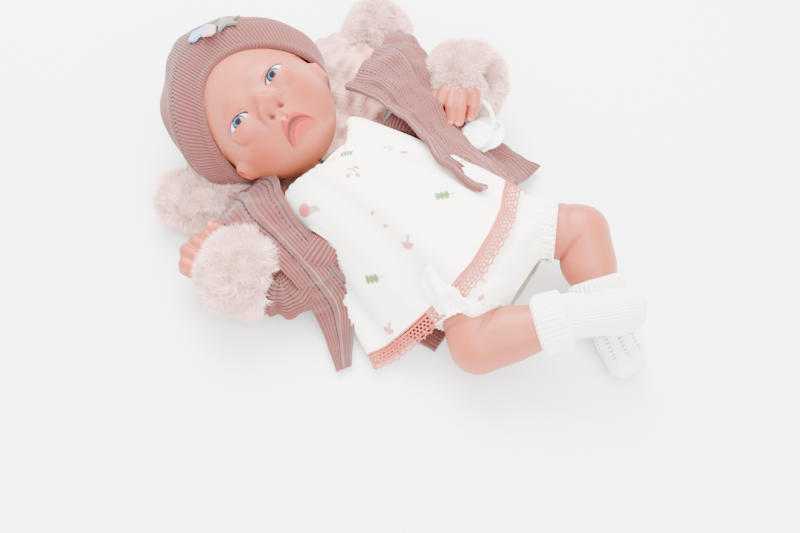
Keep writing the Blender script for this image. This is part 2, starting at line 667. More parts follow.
def build_hat():
    per_rib = 8
    columns = RIBS * per_rib
    beta = np.linspace(0, TAU, columns, endpoint=False)
    coarse = beta[::per_rib]
    spread = lambda values: np.interp(beta, np.r_[coarse, TAU], np.r_[values, values[0]])
    edge = spread(hat_limit(coarse, 26.2, 0.42, 7.0, HEAD_RADII + 3.0, vec(0, 0, 0)))
    seam = spread(hat_limit(coarse, 31.0, 0.23, -11.0, HAT_RADII, HAT_SHIFT))
    wave = np.cos(beta * RIBS)
    # crown
    rows = 130
    share = np.linspace(0.0, 1, rows)[:, None]
    alpha = 0.01 + (seam[None] - 0.01) * share
    way = hat_ways(alpha, beta[None] + 0 * alpha)
    reach = reach_of(way, HAT_RADII, HAT_SHIFT)
    place = way * reach[..., None]
    slouch = 2.6 * ripple(place, 70, 5) + 1.3 * ripple(place, 34, 6)
    slouch *= step(1.0, 0.75, share) * step(0, 0.2, share)
    gather = 5.0 * bump(share, 0.09)
    stitch = 0.10 * np.sin(share * 420)
    tuck = 1.9 * bump(share - 1.0, 0.045)
    fade = step(0.0, 0.25, share)
    crown = way * (reach + slouch - gather - tuck + (0.62 * fade) * wave[None] + stitch)[..., None]
    shade = 0.5 - 0.5 * wave[None] + 0 * share
    tint = mix(ROSE * 1.04, srgb(150, 96, 94), (0.55 * shade ** 2 * (0.35 + 0.65 * fade))[..., None])
    heap = Heap()
    heap.grid(head_place(crown), False, True, tint)
    # brim band, from the seam over the rolled edge to the head
    rows = 84
    share = np.linspace(0, 1, rows)[:, None]
    flat = np.minimum(share / 0.80, 1)
    curl = np.clip((share - 0.80) / 0.20, 0, 1) * math.pi * 0.86
    roll = 2.7
    alpha = seam[None] + (edge - seam)[None] * (flat * 0.985)
    way = hat_ways(alpha, beta[None] + 0 * alpha)
    hat = reach_of(way, HAT_RADII, HAT_SHIFT)
    head = reach_of(way, HEAD_RADII)
    outer = mix(hat - 0.6, head + 5.6, step(0.0, 1.05, flat) ** 1.15)
    puff = 1.1 * np.sin(math.pi * np.clip(flat, 0, 1)) - 1.6 * bump(flat, 0.06)
    down = unit(np.gradient(way, axis=0))
    down[flat[:, 0] >= 0.999] = down[int(rows * 0.78)]
    spot = way * (outer + puff)[..., None]
    spot = spot + down * (roll * np.sin(curl))[..., None] - way * (roll * (1 - np.cos(curl)))[..., None]
    wave_band = np.cos(beta * RIBS)[None] + 0 * share
    spot = spot + way * (0.62 * wave_band * step(1.0, 0.92, share))[..., None]
    spot = spot + way * (0.10 * np.sin(share * 190))[..., None]
    shade = 0.5 - 0.5 * wave_band
    tint = mix(ROSE * 1.03, srgb(146, 92, 90), (0.62 * shade ** 2)[..., None])
    heap.grid(head_place(spot), False, True, tint)
    heap.build("hat_knit", knit, "head", ("hat_crown", "hat_brim"), "knit_rose")
    # dark cord in the seam
    way = hat_ways(seam, beta)[::4]
    ring = way * (reach_of(way, HAT_RADII, HAT_SHIFT) - 1.3)[..., None]
    heap = Heap()
    heap.tube(head_place(ring), 0.75, 7, True, srgb(120, 72, 72))
    heap.build("hat_cord", knit, "head", (), "knit_rose")


build_hat()


def felt_shape(name, x, y, turned, outline, thick, lift, finish, stands):
    """A felt cut-out with a soft rounded edge, following the hat's curve."""
    heap = Heap()
    outline = np.asarray(outline, float)
    ring_shares = [1.0, 0.985, 0.95, 0.8, 0.6, 0.4, 0.2, 0.02]
    ring_heights = [0.0, 0.55, 0.8, 0.93, 1.0, 1.0, 1.0, 1.0]
    c, s = math.cos(math.radians(turned)), math.sin(math.radians(turned))
    rows = []
    profile = [(1.0, 0.0), (0.99, 0.25)] + list(zip(ring_shares, ring_heights))
    for share, height in profile:
        flat = outline * share
        px = x + flat[:, 0] * c - flat[:, 1] * s
        py = y + flat[:, 0] * s + flat[:, 1] * c
        d = (np.stack([px, py], -1) - HAT_SHIFT[:2]) / HAT_RADII[:2]
        pz = HAT_RADII[2] * np.sqrt(np.clip(1 - (d ** 2).sum(-1), 0.02, None))
        base = np.stack([px, py, pz], -1)
        normal = unit((base - HAT_SHIFT) / HAT_RADII ** 2)
        rows.append(base + normal * (lift + thick * height + 0.25 * ripple(base, 9, 3)[..., None]))
    heap.grid(head_place(np.stack(rows)), False, True)
    heap.build(name, finish, "head", stands, finish.name.split(".")[0])


def star(points, outer, inner, per_side=6):
    corners = []
    for k in range(points * 2):
        r = outer if k % 2 == 0 else inner
        a = TAU * k / (points * 2)
        corners.append(vec(r * math.cos(a), r * math.sin(a)))
    line = []
    for k, corner in enumerate(corners):
        following = corners[(k + 1) % len(corners)]
        for i in range(per_side):
            line.append(mix(corner, following, i / per_side))
    return np.array(line)


def bow():
    t = np.linspace(0, TAU, 90, endpoint=False)
    r = 3.2 + 6.4 * np.abs(np.cos(t)) ** 0.8 + 0.5 * np.cos(8 * t)
    return np.stack([r * np.cos(t), 0.75 * r * np.sin(t) + 1.5 * np.sin(t)], -1)


def petal():
    t = np.linspace(0, TAU, 60, endpoint=False)
    r = 4.4 + 0.9 * np.cos(3 * t)
    return np.stack([r * np.cos(t), 1.15 * r * np.sin(t)], -1)


felt_shape("felt_star", -42, 31, 20, star(5, 11.0, 5.0), 1.6, 0.7, felt_green, ("hat_star",))
felt_shape("felt_bow", -50, 16, 70, bow(), 1.6, 1.2, felt_blue, ("hat_bow",))
felt_shape("felt_petal", -41, 19, 0, petal(), 1.6, 1.9, felt_pink, ("hat_drop",))

# ---- dress, collar and lace ---------------------------------------------------------------------
TORSO_TOP = vec(0.32, 0, 0.947)
WHITE = srgb(251, 249, 243)


def ring_of(middle, radius, count=12):
    """Points round the neck, from underneath, by the doll's right, over the top and back."""
    up = unit(TORSO_TOP - NECK_AXIS * (TORSO_TOP @ NECK_AXIS))
    side = np.cross(NECK_AXIS, up)
    if side[1] < 0:
        side = -side
    angle = TAU * np.arange(count) / count
    return np.array([middle - up * radius * math.cos(a) - side * radius * math.sin(a) for a in angle])


DRESS_ROWS = [
    ring_of(vec(-62, 0, 46), 23.0),
    [(-60, 0, 7), (-64, -20, 8), (-70, -36, 20), (-76, -41, 38), (-77, -34, 56), (-68, -19, 67),
     (-55, 0, 71.5), (-63, 21, 70), (-75, 38, 60), (-74, 43, 42), (-68, 40, 22), (-64, 22, 8)],
    [(-36, 0, 4.5), (-37, -26, 4.8), (-44, -47, 14), (-50, -50, 34), (-46, -42, 58), (-38, -22, 71),
     (-30, 0, 74.5), (-33, 22, 74), (-38, 43, 63), (-37, 50, 38), (-36, 46, 16), (-36, 25, 5)],
    [(0, 0, 4.5), (-2, -32, 4.5), (-8, -70, 6), (-10, -64, 24), (-4, -51, 52), (3, -25, 71),
     (8, 0, 75.5), (8, 23, 75), (4, 45, 63), (2, 52, 38), (0, 48, 15), (0, 26, 4.5)],
    [(44, 0, 5), (36, -40, 4.5), (22, -87, 4.5), (32, -78, 14), (45, -61, 36), (59, -38, 65),
     (61, -11, 73), (57.5, 17, 75), (45, 46, 62), (40, 55, 38), (40, 51, 15), (42, 28, 5)],
]


def dress_base(s, a):
    """Dress surface without its folds: s 0 at the neck to 1 at the hem, a once round from 0 to 1."""
    rows = np.array([smooth_line(row, 240, True) for row in DRESS_ROWS])
    lengthwise = smooth_line(rows, 121)
    si = np.clip(s, 0, 1) * 120
    ai = (a % 1.0) * 240
    s0 = np.minimum(np.floor(si).astype(int), 119)
    a0 = np.floor(ai).astype(int) % 240
    fs, fa = (si - s0)[..., None], (ai - np.floor(ai))[..., None]
    a1 = (a0 + 1) % 240
    low = mix(lengthwise[s0, a0], lengthwise[s0, a1], fa)
    high = mix(lengthwise[s0 + 1, a0], lengthwise[s0 + 1, a1], fa)
    return mix(low, high, fs)


def dress_folds(s, a):
    """Height of the folds over the base surface."""
    swing = 0.010 * np.sin(5 * s + 9 * a)
    w = a + swing
    long_folds = (0.60 * np.sin(TAU * (9 * w + 0.35)) + 0.45 * np.sin(TAU * (14 * w + 0.1) + 1.2 * s)
                  + 0.35 * np.sin(TAU * (5 * w - 0.15)))
    sharp = np.sign(long_folds) * np.abs(long_folds) ** 0.85
    height = sharp * (0.5 + 1.9 * step(0.1, 0.9, s))
    under = step(0.12, 0.02, np.minimum(a % 1, 1 - a % 1))
    gathers = 0.9 * np.sin(TAU * 44 * a + 1.5 * np.sin(TAU * 7 * a)) * step(0.36, 0.05, s)
    return (height * step(0.0, 0.22, s) + gathers) * (1 - 0.9 * under)


def dress_point(s, a, lift=0.0):
    base = dress_base(s, a)
    d = 0.004
    along = dress_base(np.clip(s + d, 0, 1), a) - dress_base(np.clip(s - d, 0, 1), a)
    across = dress_base(s, a + d) - dress_base(s, a - d)
    normal = unit(np.cross(across, along))
    outward = base - mix(vec(-62, 0, 46), vec(40, -8, 38), np.clip(s, 0, 1)[..., None])
    flip = np.sign((normal * outward).sum(-1, keepdims=True))
    point = base + normal * flip * (dress_folds(s, a) + lift)[..., None]
    beyond = np.maximum(s - 1, 0)[..., None]
    point = point + unit(along) * beyond
    point[..., 2] = np.maximum(point[..., 2], 3.6)
    return point


def blot(u, v, cu, cv, ru, rv, turned=0.0, power=2.0):
    """Soft-edged ellipse for printing; u, v in mm."""
    c, s = math.cos(math.radians(turned)), math.sin(math.radians(turned))
    du, dv = (u - cu) * c + (v - cv) * s, -(u - cu) * s + (v - cv) * c
    return step(1.12, 0.88, (np.abs(du / ru) ** power + np.abs(dv / rv) ** power) ** (1 / power))


PRINT_PINK = srgb(222, 160, 160)
PRINT_DEEP = srgb(206, 130, 134)
PRINT_GREY = srgb(208, 206, 196)
PRINT_LEAF = srgb(150, 178, 122)
PRINT_DARK = srgb(108, 142, 84)
PRINT_YELLOW = srgb(240, 222, 130)
PRINT_AQUA = srgb(170, 208, 196)


def print_marks(kind, u, v):
    """(colour, coverage) pairs of one printed motif, drawn in mm about its middle."""
    marks = []
    if kind == "snail":
        marks = [(PRINT_GREY, blot(u, v, 2.0, -2.6, 6.2, 2.6, -22)),
                 (PRINT_GREY, blot(u, v, 6.2, -5.6, 2.0, 3.2, 20)),
                 (PRINT_PINK, blot(u, v, -0.6, 1.2, 5.0, 4.8)),
                 (PRINT_DEEP, 0.35 * blot(u, v, -0.6, 1.2, 3.0, 2.8)),
                 (PRINT_PINK, blot(u, v, -0.6, 1.2, 1.6, 1.5))]
    elif kind == "mushroom":
        cap = blot(u, v, 0, 0, 4.4, 4.4) * step(0.6, -0.2, v)
        marks = [(PRINT_PINK, cap), (srgb(214, 186, 180), blot(u, v, 0, 2.6, 1.1, 2.6))]
    elif kind == "oak":
        marks = [(PRINT_LEAF, blot(u, v, 0, 0, 5.4, 1.6))]
        for k in range(3):
            x = -3.4 + 3.1 * k
            marks.append((PRINT_LEAF, blot(u, v, x, 1.5, 1.5, 1.7, 20)))
            marks.append((PRINT_LEAF, blot(u, v, x, -1.5, 1.5, 1.7, -20)))
        marks.append((PRINT_LEAF, blot(u, v, 7.0, 0, 2.0, 0.4)))
    elif kind == "fern":
        marks = [(PRINT_DARK, blot(u, v, 0, 0, 6.8, 0.45))]
        for k in range(5):
            x = -5.2 + 2.3 * k
            marks.append((PRINT_DARK, blot(u, v, x, 1.4, 1.7, 0.75, 50)))
            marks.append((PRINT_DARK, blot(u, v, x, -1.4, 1.7, 0.75, -50)))
    elif kind == "tulip":
        marks = [(PRINT_LEAF, blot(u, v, 0.6, 3.4, 0.45, 6.0, -22)),
                 (PRINT_LEAF, blot(u, v, 2.6, 2.4, 0.4, 3.6, 38)),
                 (PRINT_LEAF, blot(u, v, -1.6, 4.8, 2.0, 0.7, 30)),
                 (PRINT_LEAF, blot(u, v, 3.4, 5.4, 2.2, 0.7, -24)),
                 (PRINT_PINK, blot(u, v, -2.0, -2.6, 1.7, 2.1, -20)),
                 (PRINT_PINK, blot(u, v, 4.4, -1.0, 1.8, 1.9, 30)),
                 (PRINT_DEEP, 0.5 * blot(u, v, -2.0, -1.7, 1.2, 1.0))]
    elif kind == "bird":
        marks = [(PRINT_AQUA, blot(u, v, -3.0, 0, 3.2, 1.9, 20)),
                 (PRINT_PINK, blot(u, v, 1.6, 0.8, 3.4, 2.4, -12)),
                 (PRINT_DEEP, 0.5 * blot(u, v, 2.4, 1.0, 2.0, 1.3))]
    elif kind == "dot":
        marks = [(PRINT_PINK, blot(u, v, 0, 0, 1.7, 1.4, 30)),
                 (PRINT_DEEP, 0.6 * blot(u, v, 1.2, 1.2, 1.0, 0.8))]
    elif kind == "star":
        marks = [(PRINT_YELLOW, blot(u, v, 0, 0, 2.1, 2.1, 0, 0.9))]
    return marks


DRESS_PRINTS = [
    ("snail", (-57, -42, 56), 75, 1.0), ("fern", (-54, 3, 72), 25, 0.9),
    ("tulip", (-41, -10, 73), 30, 0.95), ("tulip", (-33, 22, 74), -10, 0.6),
    ("dot", (-22, 25, 73), 20, 1.3), ("dot", (-13, -27, 70), 40, 1.0),
    ("dot", (-1, -30, 68), 10, 1.0), ("mushroom", (18, -31, 67), 33, 1.1),
    ("oak", (20, 6, 76), 45, 1.0), ("oak", (6, -56, 45), 55, 1.05),
    ("mushroom", (29, -71, 23), 20, 1.0), ("fern", (4, 60, 30), 120, 1.0),
    ("snail", (-20, 2, 4), 0, 1.0), ("tulip", (20, -30, 4), 60, 1.0), ("oak", (0, 30, 4), 10, 1.0),
]


def printed(points, normal_grid, prints, tint):
    """Paints motifs given as (kind, place, turned, size) onto a surface's points."""
    for kind, place, turned, size in prints:
        spot = vec(*place)
        gap = np.linalg.norm(points - spot, axis=-1)
        near = np.unravel_index(np.argmin(gap), gap.shape)
        normal = normal_grid[near]
        heading = vec(math.cos(math.radians(turned)), math.sin(math.radians(turned)), 0)
        right = unit(heading - normal * (heading @ normal))
        down = np.cross(normal, right)
        d = points - points[near]
        mask = gap < 14 * size + 4
        u = (d @ right) / size
        v = (d @ down) / size
        for colour, cover in print_marks(kind, u, v):
            amount = np.where(mask, cover, 0)[..., None] * 0.92
            tint = mix(tint, colour, amount)
    return tint


def build_dress():
    rows, columns = 250, 760
    s = np.linspace(0, 1, rows)[:, None] + np.zeros((1, columns))
    a = np.linspace(0, 1, columns, endpoint=False)
    a = a + 0.045 * np.sin(TAU * a) / TAU * 2
    a = a[None] + np.zeros((rows, 1))
    points = dress_point(s, a)
    normal = grid_normals(points, False, True)
    if normal[rows // 2, columns // 2][2] < 0:
        normal = -normal
    tint = np.broadcast_to(WHITE, points.shape).copy()
    tint = printed(points, normal, DRESS_PRINTS, tint)
    heap = layered(points, -0.5, True)
    heap.tints = [tint.reshape(-1, 3)] * 2
    dress = heap.build("dress_cloth", cotton, "torso", ("dress",), "dress_cotton")


build_dress()


def build_collar():
    columns = 400
    a = np.linspace(0, 1, columns, endpoint=False)
    heights = np.linspace(-3, 8.5, 44)
    rows = []
    for k, height in enumerate(heights):
        t = k / (len(heights) - 1)
        ring = smooth_line(ring_of(vec(-62, 0, 46) + NECK_AXIS * height, 1.0), columns, True)
        centre = vec(-62, 0, 46) + NECK_AXIS * height
        out = ring - centre
        wave = 0.7 * np.sin(TAU * 13 * a + 1.0) + 0.5 * np.sin(TAU * 29 * a)
        radius = 22.3 + 2.2 * math.sin(math.pi * min(t * 1.1, 1)) + 0.6 * wave * (0.3 + 0.7 * t)
        rows.append(centre + out * radius[:, None])
    grid = np.array(rows)
    tint = np.broadcast_to(WHITE, grid.shape).copy()
    normal = grid_normals(grid, False, True)
    if (normal[20, 200] @ vec(0, 0, 1)) < 0:
        normal = -normal
    tint = printed(grid, normal, COLLAR_PRINTS, tint)
    heap = layered(grid, -0.6, True)
    heap.tints = [tint.reshape(-1, 3)] * 2
    heap.build("collar_band", cotton, "torso", ("collar",), "dress_cotton")


COLLAR_PRINTS = [("bird", (-64, -14, 66), 60, 0.8), ("star", (-59, -5, 70), 0, 1.4),
                 ("dot", (-52, 12, 68), 0, 1.5)]
build_collar()


def build_lace():
    """Crochet edging: a piping cord, a ribbon of netted rings and picot loops at the edge."""
    heap = Heap()
    count = 1200
    a = np.linspace(0, 1, count, endpoint=False)

    def edge(v, lift=0.0, around=a):
        s = np.ones_like(around)
        point = dress_point(s, around)
        before = dress_point(s - 0.02, around)
        out = unit(point - before)
        out[..., 2] = np.where(point[..., 2] < 8, np.minimum(out[..., 2], 0) * 0.2, out[..., 2])
        place = point + unit(out) * np.asarray(v)[..., None]
        place[..., 2] = np.maximum(place[..., 2] + lift, 2.6)
        return place
    girth = np.linalg.norm(np.diff(edge(np.zeros(count)), axis=0), axis=1).sum()
    arc = np.r_[0, np.cumsum(np.linalg.norm(np.diff(edge(np.zeros(count)), axis=0), axis=1))]

    def around(distance):
        return np.interp(distance % girth, arc, a)
    heap.tube(edge(np.full(count, 0.3), 0.3), 0.75, 6, True)
    heap.tube(edge(np.full(count, 2.2), 0.2), 0.5, 5, True)
    heap.tube(edge(np.full(count, 9.4), 0.0), 0.45, 5, True)
    pitch = girth / round(girth / 3.3)
    turns = np.linspace(0, TAU, 12, endpoint=False)
    for row, v in enumerate((3.9, 6.0, 8.1)):
        for k in range(int(round(girth / pitch))):
            distance = (k + 0.5 * (row % 2)) * pitch + 1.55 * np.cos(turns)
            heap.tube(edge(v + 1.25 * np.sin(turns), 0.35 * (row % 2), around(distance)), 0.40, 4, True)
    big = girth / round(girth / 6.6)
    for k in range(int(round(girth / big))):
        half = np.linspace(0, math.pi, 12)
        distance = k * big + 2.9 * np.cos(half)
        heap.tube(edge(9.4 + 2.4 * np.sin(half), 0.0, around(distance)), 0.42, 4)
        for knot in (0.6, 1.57, 2.54):
            spot = turns
            distance = k * big + 2.9 * math.cos(knot) + 0.55 * np.cos(spot)
            heap.tube(edge(9.8 + 2.5 * math.sin(knot) + 0.55 * np.sin(spot), 0.0, around(distance)),
                      0.28, 4, True)
    heap.build("lace_crochet", crochet, "torso", ("lace_trim",), "lace_pink")


build_lace()

# ---- bloomers -----------------------------------------------------------------------------------
LEGS = {
    "left": {"socket": vec(66, 33, 42), "knee": vec(104, 50, 45), "ankle": vec(139, 21, 23),
             "toes": vec(172, -3, 14), "edge": 23.0},
    "right": {"socket": vec(62, -32, 40), "knee": vec(87, -54, 32), "ankle": vec(127, -17, 49),
              "toes": vec(161, 9, 57), "edge": 13.0},
}
ARMS = {
    "left": {"socket": vec(-38, 43, 43), "elbow": vec(-50, 116, 34), "wrist": vec(-22, 117, 54),
             "palm": vec(-15, 104, 58), "cuff": vec(-31, 121, 46)},
    "right": {"socket": vec(-38, -43, 42), "elbow": vec(-42, -87, 22), "wrist": vec(-90, -97, 25),
              "palm": vec(-103, -97, 23), "cuff": vec(-75, -94, 31)},
}


def swept(path, radii, sides):
    """Grid of rings of varying radius along a path; radii may vary round each ring."""
    _, side, other = frames_along(path)
    angle = np.linspace(0, TAU, sides, endpoint=False)
    ring = side[:, None] * np.cos(angle)[None, :, None] + other[:, None] * np.sin(angle)[None, :, None]
    return path[:, None] + ring * np.asarray(radii)[..., None], angle


def build_bloomers():
    rows, columns = 90, 360
    angle = np.linspace(0, TAU, columns, endpoint=False)
    heap = Heap()
    x = 37 + 54 * np.linspace(0, 1, rows) ** 0.9
    t = np.linspace(0, 1, rows)
    width = 52.5 * (1 - 0.9 * step(0.72, 1.04, t)) ** 0.5
    depth = 27.5 * (1 - 0.95 * step(0.70, 1.03, t)) ** 0.5
    c, s = np.cos(angle), np.sin(angle)
    power = 2 / 3.4
    shape_y = np.sign(c) * np.abs(c) ** power
    shape_z = np.sign(s) * np.abs(s) ** power
    body = np.stack([x[:, None] + 0 * c, width[:, None] * shape_y, 39 + depth[:, None] * shape_z], -1)
    push = 1.2 * ripple(body, 26, 11) + 0.8 * ripple(body, 12, 12)
    body[..., 1] += push * shape_y
    body[..., 2] = np.maximum(body[..., 2] + push * shape_z, 6.0)
    tint = printed(body, np.stack([0 * push, shape_y + 0 * push, shape_z + 0 * push], -1) + 1e-6,
                   BLOOMER_PRINTS, np.broadcast_to(WHITE, body.shape).copy())
    heap.grid(body, False, True, tint)
    for side, leg in LEGS.items():
        axis = unit(leg["knee"] - leg["socket"])
        count = 120
        reach = np.linspace(-6, leg["edge"] + 2.5, count)
        path = leg["socket"] + axis * reach[:, None]
        share = np.linspace(0, 1, count)
        limit = 20.6
        radius = mix(22.8, limit, step(0.30, 0.88, share)) + 2.2 * step(0.92, 1.0, share)
        grid, around = swept(path, radius[:, None] + np.zeros((1, columns)), columns)
        pleat = np.sin(around * 24 + 1.4 * np.sin(3 * around)) * 0.6 + 0.4 * np.sin(around * 41)
        swell = (1.5 * bump(share - 0.88, 0.28) + 0.2)[:, None] * pleat[None]
        frill = 1.6 * step(0.91, 1.0, share)[:, None] * np.sin(around * 30 + 2 * np.sin(5 * around))[None]
        soft = 1.3 * ripple(grid, 20, 21 if side == "left" else 22)
        out = unit(grid - path[:, None])
        grid = grid + out * (swell + frill + soft * step(1.0, 0.7, share)[:, None])[..., None]
        grid[..., 2] = np.maximum(grid[..., 2], 5.0)
        tint = printed(grid, out, BLOOMER_PRINTS, np.broadcast_to(WHITE, grid.shape).copy())
        edge_pink = step(0.985, 1.0, share)[:, None] * (0.5 + 0.5 * np.sin(around * 60))[None]
        tint = mix(tint, srgb(150, 110, 104), (edge_pink * 0.6)[..., None])
        heap.grid(grid, False, True, tint)
        inner = grid - out * 1.0
        turned = inner[::-1][:18]
        heap.grid(np.concatenate([grid[-1:], turned]), False, True, np.broadcast_to(WHITE, (19, columns, 3)))
    heap.build("bloomers_cloth", cotton, "torso", ("bloomers",), "bloomer_cotton")


BLOOMER_PRINTS = [("star", (74, -30, 66), 0, 1.2), ("fern", (92, 23, 39), 80, 0.7),
                  ("dot", (60, -57, 46), 0, 1.2), ("dot", (78, -40, 63), 60, 1.2),
                  ("oak", (60, 0, 10), 0, 1.0)]
build_bloomers()

# ---- legs and socks -----------------------------------------------------------------------------
def build_legs():
    for side, leg in LEGS.items():
        socket, knee, ankle, toes = leg["socket"], leg["knee"], leg["ankle"], leg["toes"]
        axis, shin = unit(knee - socket), unit(ankle - knee)
        bend = unit(axis - shin)
        pieces = chain([(socket - axis * 2, 15), (socket + axis * 8, 19.0), (knee, 19.8)])
        pieces += chain([(knee, 19.4), (knee + shin * 22, 18.4), (ankle - shin * 8, 13.2), (ankle, 12.2)])
        pieces.append(egg(knee + shin * 18 - bend * 1.5, (18.5, 18.5, 24), rotation_to(shin)))
        pieces += chain([(ankle, 12.0), (mix(ankle, toes, 0.5), 10.8), (mix(ankle, toes, 0.9), 9.0)])
        points, faces = clay(pieces, 1.1, 14)
        rel = points - socket
        reach = rel @ axis
        upper = step(0.1, -0.4, (points - knee) @ shin / 20)
        crease_at = leg["edge"] + 9.0
        groove = bump(reach - crease_at - 2.2 * np.sin(points[:, 2] / 9), 1.5) * upper
        from_knee = points - knee
        knee_line = bump((from_knee @ unit(shin + axis)) - 1.0, 1.3) * step(4, -10, from_knee @ bend)
        centre = socket + axis * np.clip(reach, 0, None)[:, None]
        out = unit(points - centre)
        points = points - out * (0.75 * groove)[:, None]
        points = points - unit(points - knee) * (1.1 * knee_line)[:, None]
        tint = np.broadcast_to(mix(SKIN, SKIN_LIGHT, 0.15), points.shape).copy()
        blush = 0.45 * bump(np.linalg.norm(points - (knee + bend * 16), axis=1), 17)
        tint = mix(tint, srgb(222, 146, 128), np.clip(blush, 0, 1)[:, None])
        tint = mix(tint, srgb(198, 124, 104), np.clip(0.4 * groove + 0.5 * knee_line, 0, 1)[:, None])
        heap = Heap()
        heap.add(points, faces, tint)
        heap.build("leg_skin_" + side, skin, "leg_" + side, ("leg_" + side,), "skin_vinyl")


def rotation_to(direction, side=None):
    """Rotation matrix whose Z column is the direction."""
    z = unit(direction)
    x = unit(np.cross(vec(0.2, 0.3, 0.93), z) if side is None else side - z * (side @ z))
    return np.stack([x, np.cross(z, x), z], 1)


build_legs()


def build_socks():
    for side, leg in LEGS.items():
        ankle, toes, knee = leg["ankle"], leg["toes"], leg["knee"]
        shin, foot = unit(ankle - knee), unit(toes - ankle)
        top = ankle - shin * 16
        path = smooth_line([top, ankle - shin * 5, ankle + (foot + shin) * 2.5,
                            mix(ankle, toes, 0.45), mix(ankle, toes, 0.85), toes + foot * 9.5], 230)
        share = np.linspace(0, 1, len(path))
        columns = 420
        radius = 14.6 + 1.0 * bump(share - 0.34, 0.12) - 0.8 * step(0.45, 0.8, share)
        tip = np.clip((share - 0.86) / 0.14, 0, 1)
        radius = radius * np.sqrt(np.clip(1 - tip ** 2.2, 0.0004, 1))
        grid, angle = swept(path, radius[:, None] + np.zeros((1, columns)), columns)
        out = unit(grid - path[:, None])
        ribs = np.cos(angle * 44)[None]
        courses = np.sin(share * 520)[:, None]
        openwork = np.zeros((len(path), columns))
        if side == "left":
            band = step(0.5, 0.7, np.cos(angle * 9))[None] * step(0.2, 0.35, share)[:, None] \
                * step(0.92, 0.80, share)[:, None]
            openwork = band * step(0.1, 0.7, np.sin(share * 190)[:, None] + 0 * band)
        height = 0.30 * ribs + 0.16 * courses - 0.9 * openwork + 0.7 * ripple(grid, 22, 31)
        ruck = 0.8 * np.sin(share * 70)[:, None] * bump(share - 0.24, 0.10)[:, None]
        grid = grid + out * (height + ruck)[..., None]
        grid[..., 2] = np.maximum(grid[..., 2], 2.2)
        shade = np.clip(0.18 * (0.5 - 0.5 * ribs) + 0.75 * openwork, 0, 1)
        tint = mix(srgb(248, 247, 244), srgb(196, 190, 184), shade[..., None])
        heap = Heap()
        heap.grid(grid, False, True, tint)
        # turned ribbed cuff
        count = 90
        reach = np.linspace(-1.5, 19.0, count)
        line = top + shin * reach[:, None]
        t = np.linspace(0, 1, count)
        radius = 18.6 + 0.9 * np.sin(math.pi * t) - 2.2 * bump(t, 0.05) - 2.6 * bump(t - 1, 0.06)
        band, angle = swept(line, radius[:, None] + np.zeros((1, columns)), columns)
        out = unit(band - line[:, None])
        ribs = np.cos(angle * 36)[None]
        stitches = 0.12 * np.sin(t * 110)[:, None]
        band = band + out * (0.45 * ribs + stitches + 0.7 * ripple(band, 18, 32))[..., None]
        band[..., 2] = np.maximum(band[..., 2], 2.2)
        shade = 0.20 * (0.5 - 0.5 * ribs) + 0 * t[:, None]
        heap.grid(band, False, True, mix(srgb(250, 249, 246), srgb(200, 194, 188), shade[..., None]))
        inner = mix(line[:, None], band, 0.86)
        lip = np.stack([band[0], mix(band[0], inner[0], 0.5) - shin * 0.6, inner[0], inner[25]])
        heap.grid(lip[::-1], False, True, np.broadcast_to(srgb(244, 242, 238), lip.shape))
        tail = np.stack([band[-1], mix(band[-1], inner[-1], 0.5) + shin * 0.6, inner[-1]])
        heap.grid(tail, False, True, np.broadcast_to(srgb(238, 236, 232), tail.shape))
        heap.build("sock_knit_" + side, sock_knit, "leg_" + side, ("sock_" + side,), "sock_white")


build_socks()

# ---- arms and hands -----------------------------------------------------------------------------
HANDS = {
    "left": {
        "palm": [((-18, 113, 57), 9.5), ((-21, 105, 59), 9.0)],
        "fingers": [
            [((-22, 104, 60), 5.6), ((-25.5, 95, 62.5), 4.8), ((-21, 85, 60.5), 4.3), ((-17.5, 80, 54), 3.9)],
            [((-19, 106, 60), 5.6), ((-19.2, 97.5, 63), 4.8),
             ((-14.8, 88, 60.5), 4.3), ((-12.2, 81.5, 54), 3.9)],
            [((-15, 110, 59), 5.2), ((-12.7, 103.5, 60.5), 4.5),
             ((-8.7, 96, 57.5), 4.0), ((-7.6, 91, 52.5), 3.6)],
            [((-25, 104, 60), 5.6), ((-31.5, 94, 61.5), 4.7),
             ((-30.5, 85.5, 58.5), 4.2), ((-30, 80.5, 52.5), 3.8)],
            [((-28, 106, 57), 5.6), ((-36.5, 96, 56), 4.6),
             ((-38.5, 86.5, 53), 4.2), ((-36.5, 80, 49.5), 3.8)]],
    },
    "right": {
        "palm": [((-91, -99, 25), 11.0), ((-99, -94, 22), 10.5), ((-98, -105, 21), 10.0)],
        "fingers": [
            [((-103, -86, 24), 6.0), ((-113, -84, 27), 5.2),
             ((-112, -84, 35), 4.9), ((-103, -87, 36.5), 4.4)],
            [((-105, -93, 23), 6.0), ((-117, -92, 26), 5.3),
             ((-116, -92, 35), 5.0), ((-105.5, -94, 36.5), 4.5)],
            [((-105, -100, 22), 6.0), ((-118, -101, 25), 5.2),
             ((-117, -101, 33.5), 4.9), ((-107, -102, 35), 4.4)],
            [((-102, -106, 21), 5.8), ((-113, -109, 24), 5.0),
             ((-112, -109, 31.5), 4.8), ((-103.5, -109, 32.5), 4.2)],
            [((-92, -86, 27), 6.6), ((-97, -78, 31), 5.4), ((-107, -75, 34), 4.8), ((-113, -77, 35), 4.2)]],
    },
}


